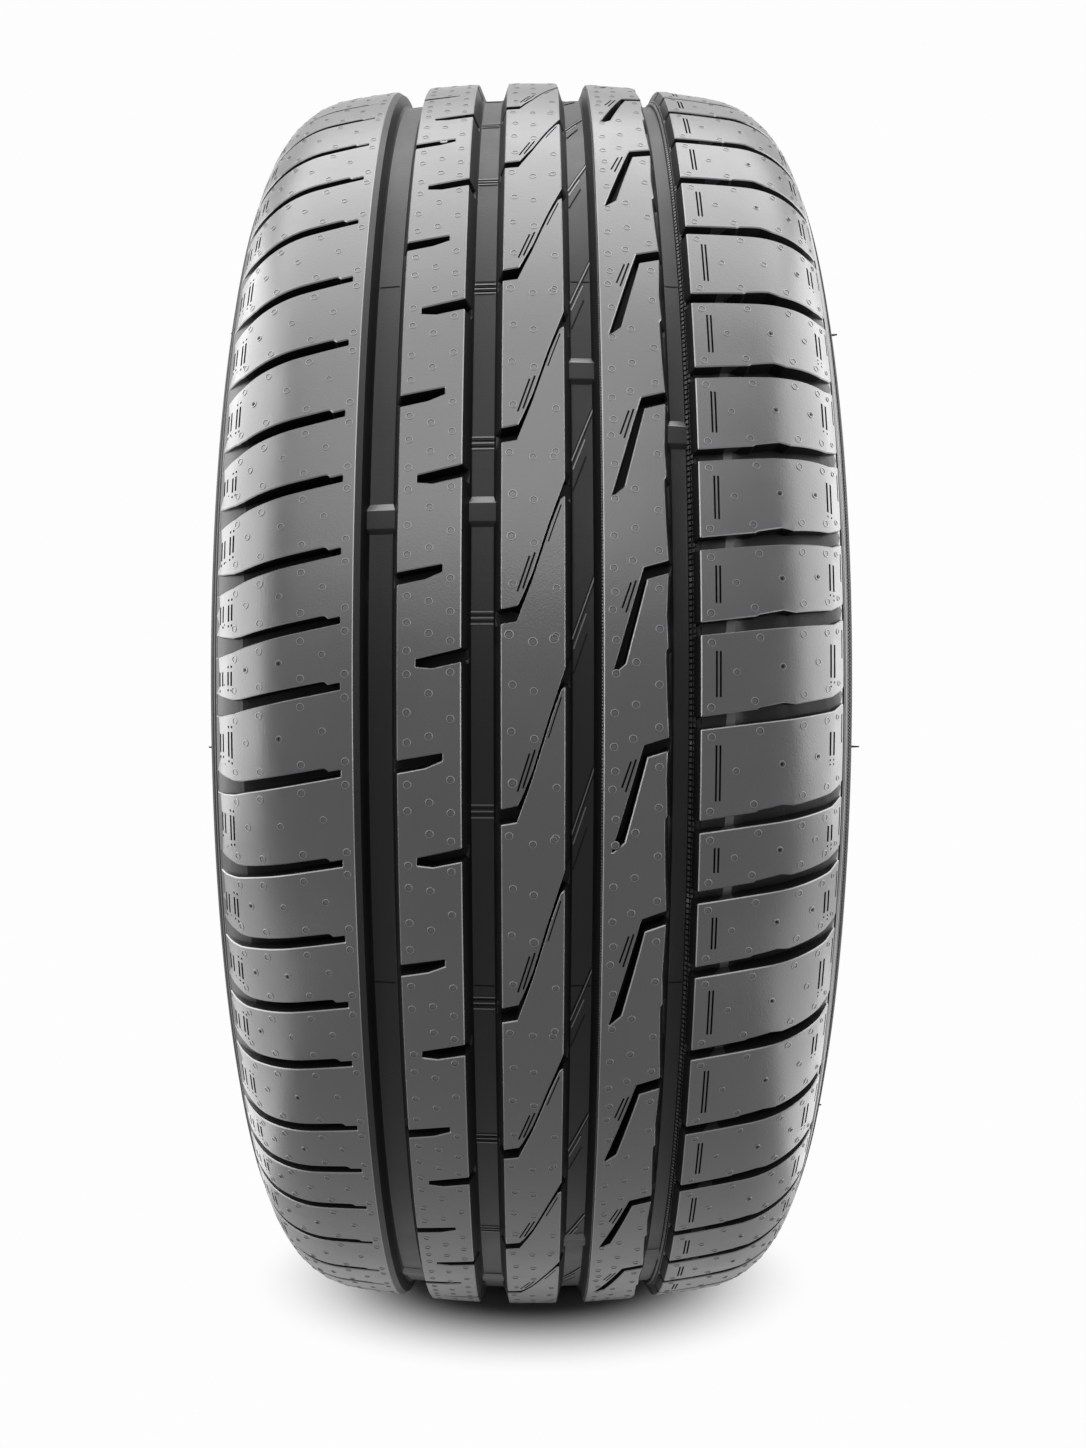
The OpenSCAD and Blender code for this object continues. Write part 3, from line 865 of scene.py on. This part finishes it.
rightShoulder = {
    "slots": 58,
    "row": (309, [39, 37.5, 36, 39.5, 36.5, 36, 35.5, 32.5, 35.5, 39.5, 28, 31.5, 38.5, 41, 38.5, 39, 34]),
    "upper": [(63, 2.0), (84.4, 4.8), (85.6, 5.5), (95, 7.4), (100, 6.8), (119.5, 9.6), (127, 12.3),
              (129.4, 13.6)],
    "lower": [(63, -2.8), (84, -0.4), (100, 1.3), (110, 2.6), (120, 3.8), (121.5, 4.1), (127, 6.4),
              (129.4, 7.2)],
    "blockCorner": 3.0,       # rounding of the blocks at the edge of the tread
    # The slot floors take the groove rubber, painted shade; the tie bar and the outer end take the land
    # rubber.
    "floor": [(63, 4.9, "groove"), (72, 5.3, "groove"), (73, 4.4, "low land"), (78, 4.4, "low land"),
              (79, 6.2, "groove"), (100, 6.6, "groove"), (110, 5.6, "groove"), (115, 4.8, "groove"),
              (120, 3.2, "groove"), (125, 1.6, "groove"), (127.5, 1.0, "low land")],
    "floorEnd": 129.0,
    # Rings round the outer edge: the slot rubber in the sunk line and the groove rubber beyond the ridge
    # are painted shade, the edge rubber on the ridge's crest a painted highlight.
    "band": [(130.6, 0.9, "land"), (131.1, 1.6, "slot"), (132.0, 1.6, "slot"), (132.6, 0.7, "land"),
             (133.2, 0.0, "edge"), (134.0, 0.0, "edge"), (134.6, 0.7, "groove"), (135.2, 0.7, "groove")],
    "ventsAbove": [(66.8, 5.6), (83.5, 8.0), (103.6, 10.6), (116.5, 12.8), (124.5, 15.4)],
    "ventsBelow": [(67, -5.6), (85.5, -3.4), (103.5, -1.4), (116, 0.1), (123.5, 1.4)],
    "ventsMiddle": [(76.5, 1.2), (94.3, 3.5), (110.7, 5.8)],
    "smallVents": (120, 0.75),    # from which place out they are smaller, and their size there
    "middleSize": 0.9,
    # Some middle vents have their plate painted dark with the slot rubber, as a hole.
    "paintedHoleShare": 0.7,
    # Sunk lines: their places, how far they end from the slots below and above, and their width
    "innerLines": ((68.9, 70.4), 9.5, 8.6, 0.75),
    "outerLines": ((118.2, 120.8), 17.5, 3.6, 1.2),
    "outerLength": (9, 15),   # at random, where the block is long enough
    "outerStray": 1,          # how much lower they may end, at random
    "dots": (1.8, 3.6, 1.0, 0.4),     # below the line, the second one, their size, how many have a second
    "edgeLine": (127.4, -9.5, 2.5, 0.9, 0.6),     # place, its two ends, width and depth
    # A low sill on the floor of each slot, where it opens into groove 4, in the groove rubber's painted
    # shade
    "sill": [(64.3, -2.2), (66.5, -2.1), (66.5, 1.6), (64.3, 1.5)],
    "sillDepths": (6.5, 4.6),
    # Two rows of little teeth along the wall of groove 4, as for rib 4
    "teeth": (2.25, 0.72, 8.2, [((60.0, 60.8), (6.3, 5.6, 5.6, 6.3)),
                                ((61.1, 61.9), (5.1, 4.2, 4.2, 5.1))]),
}


def buildRightShoulder():
    edge = grooves["spans"][3][1]
    slotFloor = shoulderFloor(rightShoulder["floor"])

    def voidFloor(t):
        depth, code = slotFloor(t)
        onFloor = (t > edge + grooves["inside"]) & (t < rightShoulder["floorEnd"])
        return (np.where(t < edge - grooves["outside"], tread["grooveDepth"],
                         np.where(onFloor, depth, np.nan)),
                np.where(t < edge, finishes["groove"], code))
    row = Row(middles[3], treadEnd, tread["grooveDepth"], 0.0, slotFloor, voidFloor)
    stations = stationsOf(rightShoulder["row"], rightShoulder["slots"])
    gaps = gapsBetween(stations)
    upper, lower = rightShoulder["upper"], rightShoulder["lower"][::-1]
    corner = (rightShoulder["blockCorner"],)
    for s, gap in zip(stations, gaps):
        bottom = cornersAt(s - gap, upper, ["slot"] * (len(upper) - 1) + ["end"])
        top = cornersAt(s, lower, ["slot"] * (len(lower) - 1) + ["groove"])
        row.edge(bottom[:-1] + [bottom[-1] + corner, top[0] + corner] + top[1:])
    row.grooveFoot(edge, -1, "groove")
    for t, depth, finish in rightShoulder["band"]:
        row.circle(t, depth, finish)
    smallFrom, smallSize = rightShoulder["smallVents"]
    inner, innerBelow, innerAbove, innerWidth = rightShoulder["innerLines"]
    outer, outerBelow, outerAbove, outerWidth = rightShoulder["outerLines"]
    firstDot, secondDot, dotSize, secondShare = rightShoulder["dots"]
    edgeAt, edgeLow, edgeHigh, edgeWidth, edgeDepth = rightShoulder["edgeLine"]
    for s, gap in zip(stations, gaps):
        for base, places in ((s - gap, rightShoulder["ventsAbove"]), (s, rightShoulder["ventsBelow"])):
            for t, ds in places:
                row.vent(t, base + ds, 1.0 if t < smallFrom else smallSize)
        for t, ds in rightShoulder["ventsMiddle"]:
            row.vent(t, s - gap / 2 + ds, rightShoulder["middleSize"],
                     chance.random() < rightShoulder["paintedHoleShare"])
        for t in inner:
            row.mark(strip((t, s - gap + innerBelow), (t, s - innerAbove), innerWidth))
        high = s - outerAbove - chance.uniform(0, rightShoulder["outerStray"])
        low = max(high - chance.uniform(*rightShoulder["outerLength"]), s - gap + outerBelow)
        for t in outer:
            row.mark(strip((t, low), (t, high), outerWidth))
            row.mark(dot(t, low - firstDot, dotSize))
            if chance.random() < secondShare:
                row.mark(dot(t, low - secondDot, dotSize))
        row.mark(strip((edgeAt, s + edgeLow), (edgeAt, s + edgeHigh), edgeWidth), edgeDepth)
        row.block([(t, s + ds) for t, ds in rightShoulder["sill"]], *rightShoulder["sillDepths"])
    row.teeth(*rightShoulder["teeth"], "low land")
    row.finished("tread_right_shoulder")


buildLeftShoulder()
buildRib2()
buildCentreRib()
buildRib4()
buildRightShoulder()
print("tread made")

carcass = {
    "crown": 10.0,            # depth of the carcass under the tread rows
    "steps": 360,             # points round each of its rings
    "sidePull": (3, 2.6),     # how tightly the sidewall curves above and below its widest line
    "beadHeading": 143,       # degrees, which way the sidewall comes in to the bead
    "sideSteps": (24, 28),
    # Fine rings below the shoulder: how far down, and their height
    "rings": [(4.0, 0.5), (9.0, 0.35), (12.0, 0.35)],
    "ringWidth": 1.6,
    "ringPoints": 9,          # across each ring
    "ringClear": 0.3,         # how near to a ring the sidewall's own points may come
    "ringSteep": 2.2,         # how steep a ring's sides are, with 1 for no flat top
    "guardBelow": 12.22,      # how far the rim protector lies below the widest line
    "guardHeight": 2.6,
    "guardWidth": 7.0,
    "linerHalf": 0.96,        # share of the crown that the liner follows
    "linerPull": (2.4, 2.8),
    "linerHeading": (0.82, 0.57),     # which way the liner leaves the toe
    "linerSteps": (8, 12, 12),
    "crownSteps": 14,
}


def bezier(p, q, r, s, count):
    u = (np.arange(1, count + 1) / count)[:, None]
    v = 1 - u
    return v ** 3 * p + 3 * v * v * u * q + 3 * v * u * u * r + u ** 3 * s


def heading(degrees):
    return np.array([math.cos(math.radians(degrees)), -math.sin(math.radians(degrees))])


def sideLine():
    # Outside of the sidewall, from the end of the shoulder down to the bead's toe, as axial and radial
    top = np.array(skinPoint(np.array(treadEnd), 0.0))
    wide = np.array([section["halfWidth"],
                     section["seatRadius"] + section["widestShare"] * (top[1] - section["seatRadius"])])
    foot = np.array([section["rimHalf"], section["seatRadius"] + section["beadHeight"]])
    upPull, downPull = carcass["sidePull"]
    upReach, downReach = np.hypot(*(top - wide)) / upPull, np.hypot(*(wide - foot)) / downPull
    upSteps, downSteps = carcass["sideSteps"]
    upper = bezier(top, top + upReach * heading(section["shoulderSlope"]), wide + [0, upReach], wide,
                   upSteps)
    lower = bezier(wide, wide - [0, downReach], foot - downReach / 2 * heading(carcass["beadHeading"]),
                   foot, downSteps)
    heel = np.array([section["rimHalf"] - section["heelRadius"],
                     section["seatRadius"] + section["heelRadius"]])
    heelArc = [heel + section["heelRadius"] * heading(a) for a in range(0, 91, 15)]
    toe = [section["rimHalf"] - section["seatWidth"] - section["heelRadius"], section["seatRadius"]]
    return top, wide, np.vstack([[top], upper, lower]), np.vstack([heelArc, [toe]])


def lengthsAlong(line):
    return np.concatenate([[0], np.cumsum(np.hypot(*np.diff(line, axis=0).T))])


def pointsAlong(line, at):
    along = lengthsAlong(line)
    return np.stack([np.interp(at, along, line[:, 0]), np.interp(at, along, line[:, 1])], axis=-1)


def outwardAlong(line, at):
    # A place on the line, and the way out from there
    here = pointsAlong(line, at)
    return here, -rightOf(pointsAlong(line, at + 1) - here)


def raised(line, at, height, width):
    # A smooth ring on the line, at this arc length along it
    along = lengthsAlong(line)
    extra = np.linspace(at - width / 2, at + width / 2, carcass["ringPoints"])
    clear = (along < extra[0] - carcass["ringClear"]) | (along > extra[-1] + carcass["ringClear"])
    places = np.unique(np.concatenate([along[clear], extra]))
    fine = pointsAlong(line, places)
    share = np.clip(1 - np.abs(places - at) / (width / 2), 0, 1)
    slope = np.clip(share * carcass["ringSteep"], 0, 1)
    rise = height * slope ** 2 * (3 - 2 * slope)
    return fine - rightOf(np.gradient(fine, axis=0)) * rise[:, None]


def buildCarcass():
    # Returns the outside of the sidewall, for the pieces that stand on it
    top, wide, side, bead = sideLine()
    for at, height in carcass["rings"]:
        side = raised(side, at, height, carcass["ringWidth"])
    toGuard = np.hypot(*(top - wide)) + carcass["guardBelow"]
    side = raised(side, toGuard, carcass["guardHeight"], carcass["guardWidth"])
    innerHalf = section["crownHalf"] * carcass["linerHalf"]
    innerTop = np.array(skinPoint(np.array(innerHalf), section["crownWall"]))
    innerWide = wide - [section["wall"], 0]
    innerFoot = bead[-1] + [-section["toeWidth"], section["toeHeight"]]
    upPull, downPull = carcass["linerPull"]
    reach = np.hypot(*(innerTop - innerWide)) / upPull
    drop = np.hypot(*(innerWide - innerFoot)) / downPull
    crownSteps, upSteps, downSteps = carcass["linerSteps"]
    inside = np.vstack([
        np.stack(skinPoint(np.linspace(0, innerHalf, crownSteps), section["crownWall"]), axis=1),
        bezier(innerTop, innerTop + reach * heading(math.degrees(innerHalf / section["crownRadius"])),
               innerWide + [0, reach], innerWide, upSteps),
        bezier(innerWide, innerWide - [0, drop], innerFoot + drop * np.array(carcass["linerHeading"]),
               innerFoot, downSteps)])
    crown = np.stack(skinPoint(np.linspace(treadEnd, 0, carcass["crownSteps"]), carcass["crown"]), axis=1)
    half = np.vstack([side, bead, inside[::-1]])
    mirror = half[::-1][1:] * [-1, 1]
    under = np.vstack([(crown * [-1, 1])[:-1], crown[::-1]])
    outline = np.vstack([half, mirror, under])
    steps = carcass["steps"]
    turn = np.arange(steps) * 2 * math.pi / steps
    points = turned(outline[:, 0][:, None], outline[:, 1][:, None], turn).reshape(-1, 3)
    index = np.arange(len(points)).reshape(-1, steps)
    following = np.roll(index, -1, axis=0)
    quads = np.stack([index, following, np.roll(following, -1, axis=1), np.roll(index, -1, axis=1)],
                     axis=2).reshape(-1, 4)
    mesh("carcass", points, [quads], np.full(len(quads), finishes["sidewall"]))
    return side


sideTeeth = {
    "pitch": 1.4,             # fine teeth round the right sidewall, beside the tread
    "span": (1.2, 6.5),       # where along the sidewall they start and end
    "share": 0.45,            # of the pitch, that a tooth fills
    "lifts": (-0.4, 0.35),    # heights of their foot and top
}


def buildTeeth(side):
    (start, out), (end, outEnd) = [outwardAlong(side, at) for at in sideTeeth["span"]]
    count = round(2 * math.pi * start[1] / sideTeeth["pitch"])
    half = math.pi / count * sideTeeth["share"]
    sets = []
    for k in range(count):
        turns = 2 * math.pi * k / count + np.array([half, -half, -half, half])
        corners = []
        for lift in sideTeeth["lifts"]:
            ends = np.array([start + out * lift] * 2 + [end + outEnd * lift] * 2)
            corners.append(turned(ends[:, 0], ends[:, 1], turns))
        sets.append(np.vstack(corners))
    boxes("sidewall_teeth", sets, "sidewall")


hairs = {
    "sides": ((-1, 1.2), (1, 3.6)),   # rubber hairs left by the mould's vents: side and length
    "count": 9,
    "turns": (0.095, 0.105),  # radians below an even share of the circle, at random
    "at": 24,                 # how far along the sidewall
    "stray": 3,
    "cut": (0.7, 1.0),        # share of the length that is left
    "halfWidths": (0.45, 0.25),       # at the foot and at the tip
}


def buildHairs(side):
    sets = []
    for sign, longest in hairs["sides"]:
        for k in range(hairs["count"]):
            turn = 2 * math.pi * k / hairs["count"] - chance.uniform(*hairs["turns"])
            here, out = outwardAlong(side, hairs["at"] + chance.uniform(-hairs["stray"], hairs["stray"]))
            tip = here + out * longest * chance.uniform(*hairs["cut"])
            corners = []
            for (axial, radial), wide in zip((here - out, tip), hairs["halfWidths"]):
                turns = turn + np.array([-1, 1, 1, -1]) * wide / radial * sign
                corners.append(turned(sign * axial, radial + np.array([-1, -1, 1, 1]) * wide, turns))
            sets.append(np.vstack(corners))
    boxes("vent_hairs", sets, "sidewall")


sidewall = buildCarcass()
buildTeeth(sidewall)
buildHairs(sidewall)

wearBars = {
    "perGroove": 5,
    "places": (60.6, 62.8, 123.8, 96.3),      # s of one bar in each groove
    "length": 12.4,
    "top": 6.3,               # depth
    "root": 9.0,              # depth, under the groove's floor
    "ramp": 3.2,              # length of the ramp at their upper end
    # Beside the walls the ramp's corners are cut off: how far from the wall, and by how much
    "cuts": [(0.9, 2.4), (1.7, 1.4), (3.2, 0.0)],
    "sink": 0.06,             # how much deeper the bar lies there, for each mm cut off
}


def buildWearBars():
    points, faces, codes = [], [], []
    half, top, root, ramp = wearBars["length"] / 2, wearBars["top"], wearBars["root"], wearBars["ramp"]
    # Along the bar: place and depth, from its lower end to the foot of its ramp
    profile = [(-half, root), (-half, 8.0), (-half + 1.5, top + 0.35), (-half + 2.1, top),
               (half - ramp, top), (half - ramp + 0.5, top + 0.12), (half, 7.9), (half, root)]
    rampFaces = (4, 5)
    n, cuts = len(profile), wearBars["cuts"]
    for (low, high), place in zip(grooves["spans"], wearBars["places"]):
        steps = [(low + t, cut) for t, cut in cuts] + [(high - t, cut) for t, cut in cuts[::-1]]
        for k in range(wearBars["perGroove"]):
            s = place + k * around / wearBars["perGroove"]
            first = len(points)
            for t, cut in steps:
                points += [(t, s + min(ds, half - cut), depth + wearBars["sink"] * cut)
                           for ds, depth in profile]
            for a in range(first, first + (len(steps) - 1) * n, n):
                faces += [[a + b, a + n + b, a + n + (b + 1) % n, a + (b + 1) % n] for b in range(n)]
                # The ramp takes the land rubber; the other faces and the ends take the groove rubber,
                # painted shade.
                codes += [finishes["low land" if b in rampFaces else "groove"] for b in range(n)]
            last = first + len(steps) * n
            for cap in (range(first, first + n), range(last - 1, last - n - 1, -1)):
                faces += [[cap[0], cap[b], cap[b + 1], cap[b + 2]] for b in range(1, n - 2, 2)]
                codes += [finishes["groove"]] * (n // 2 - 1)
    spots = np.array(points)
    mesh("wear_bars", placed(spots[:, 0], spots[:, 1], spots[:, 2]), [np.array(faces)], np.array(codes))


seams = {
    "count": 7,               # segments of the mould round the tread
    "first": 170.0,           # s of one seam
    "halfLength": 4.4,
    "halfWidth": 0.225,
    "root": 0.4,              # how far they reach into the floor
    "height": 0.2,
}


def buildSeams():
    # The thin line left on each groove's floor where two segments of the mould meet
    along = np.array([-1, 1, 1, -1] * 2) * seams["halfLength"]
    across = np.array([-1, -1, 1, 1] * 2) * seams["halfWidth"]
    floor = tread["grooveDepth"]
    depth = np.repeat([floor + seams["root"], floor - seams["height"]], 4)
    places = [(middle, seams["first"] + k * around / seams["count"])
              for middle in middles for k in range(seams["count"])]
    # They take the slot rubber, painted dark as shade.
    boxes("mould_seams", [placed(t + along, s + across, depth) for t, s in places], "slot")


buildWearBars()
buildSeams()
print("carcass and wear bars made")

studio = {
    # The paper's grey shows only near the contact and fades into the white beyond: a painted shadow, beside
    # the one the tyre casts.
    "floor": "#767676",
    "background": "#fdfdfd",
    "floorSize": 6.0,         # m
    "shadowReach": (0.065, 0.155),    # m from the contact, where the floor's shadow fades into the white
    "shadowWidth": 0.95,      # below 1, the shadow reaches further to the sides than to the front
    "softboxes": {
        # place and size in m, watts, and the place that it faces
        "overhead": ((0.1, 0, 1.4), (2.2, 1.3), 32.0, (0, 0, 0)),
        "high front": ((1.85, -0.2, 1.5), (1.9, 2.0), 32.0, (0, 0, 0)),
        "left": ((0.1, -0.98, 0.32), (1.5, 1.25), 28.0, (0, 0, 0)),
        "right": ((0.1, 0.98, 0.32), (1.5, 1.25), 25.0, (0, 0, 0)),
        "low left": ((0.1, -0.57, -0.325), (0.8, 0.68), 3.2, (0.1, -0.57, 1)),
        "low right": ((0.1, 0.57, -0.325), (0.8, 0.68), 3.5, (0.1, 0.57, 1)),
    },
    "world": 0.2,             # what the room adds beside the softboxes
}


def softbox(name, at, size, watts, facing):
    light = bpy.data.lights.new(name, "AREA")
    light.shape = "RECTANGLE"
    light.size, light.size_y = size
    light.energy = watts
    lamp = addObject(name, light)
    lamp.location = at
    lamp.rotation_euler = (Vector(facing) - Vector(at)).to_track_quat("-Z", "Y").to_euler()
    lamp.visible_camera = False


def seenRays(tree):
    # 1 for the rays that show the background: to the camera, in gloss and through clear things
    path = addNode(tree, "ShaderNodeLightPath")
    gloss = addNode(tree, "ShaderNodeMath", links={0: path.outputs["Is Camera Ray"],
                                                   1: path.outputs["Is Glossy Ray"]}, operation="MAXIMUM")
    return addNode(tree, "ShaderNodeMath", links={0: gloss.outputs[0],
                                                  1: path.outputs["Is Transmission Ray"]},
                   operation="MAXIMUM").outputs[0]


def buildWorld():
    world = bpy.data.worlds.new("white studio")
    bpy.context.scene.world = world
    tree = emptyTree(world)
    dim = addNode(tree, "ShaderNodeBackground", {"Color": linear("#ffffff"), "Strength": studio["world"]})
    white = addNode(tree, "ShaderNodeBackground", {"Color": linear(studio["background"]), "Strength": 1.0})
    mix = addNode(tree, "ShaderNodeMixShader", links={0: seenRays(tree), 1: dim.outputs[0],
                                                     2: white.outputs[0]})
    addNode(tree, "ShaderNodeOutputWorld", links={"Surface": mix.outputs[0]})


def paperFloor():
    # Grey paper that catches the tyre's cast shadow near the contact and glows plain white beyond it; the
    # radial fade from the grey paper into the white is a painted shadow on top of the cast one
    material = bpy.data.materials.new("grey paper floor with painted shadow")
    tree = emptyTree(material)
    place = addNode(tree, "ShaderNodeTexCoord").outputs["Object"]
    squashed = addNode(tree, "ShaderNodeVectorMath", {1: (1.0, studio["shadowWidth"], 1.0)}, {0: place},
                       operation="MULTIPLY")
    distance = addNode(tree, "ShaderNodeVectorMath", links={0: squashed.outputs[0]}, operation="LENGTH")
    near, far = studio["shadowReach"]
    paintedShadowFade = addNode(tree, "ShaderNodeMapRange", {"From Min": near, "From Max": far},
                   {"Value": distance.outputs["Value"]}, interpolation_type="SMOOTHSTEP")
    paper = addNode(tree, "ShaderNodeBsdfDiffuse", {"Color": linear(studio["floor"])})
    glow = addNode(tree, "ShaderNodeEmission", {"Color": linear(studio["background"]), "Strength": 1.0})
    seen = addNode(tree, "ShaderNodeMath", links={0: seenRays(tree), 1: paintedShadowFade.outputs["Result"]},
                   operation="MULTIPLY")
    mix = addNode(tree, "ShaderNodeMixShader", links={0: seen.outputs[0], 1: paper.outputs[0],
                                                     2: glow.outputs[0]})
    addNode(tree, "ShaderNodeOutputMaterial", links={"Surface": mix.outputs[0]})
    return material


def buildFloor():
    data = bpy.data.meshes.new("floor")
    half = studio["floorSize"] / 2
    data.from_pydata([(-half, -half, 0), (half, -half, 0), (half, half, 0), (-half, half, 0)], [],
                     [(0, 1, 2, 3)])
    data.materials.append(paperFloor())
    floor = addObject("floor", data)
    floor.location.z = -section["outerRadius"] * millimetre


for name, values in studio["softboxes"].items():
    softbox(name + " softbox", *values)
buildWorld()
buildFloor()

cameraView = {
    "at": (0.893, 0.0, -0.0299),      # m, level with the tyre and close to it
    "lens": 38.016,
    "shift": (0.00794, 0.01968),
}
cameraData = bpy.data.cameras.new("camera")
cameraData.lens = cameraView["lens"]
cameraData.shift_x, cameraData.shift_y = cameraView["shift"]
camera = addObject("camera", cameraData)
camera.location = cameraView["at"]
camera.rotation_euler = (math.pi / 2, 0, math.pi / 2)
bpy.context.scene.camera = camera
bpy.context.scene.view_settings.view_transform = "Standard"
print("studio and camera made")
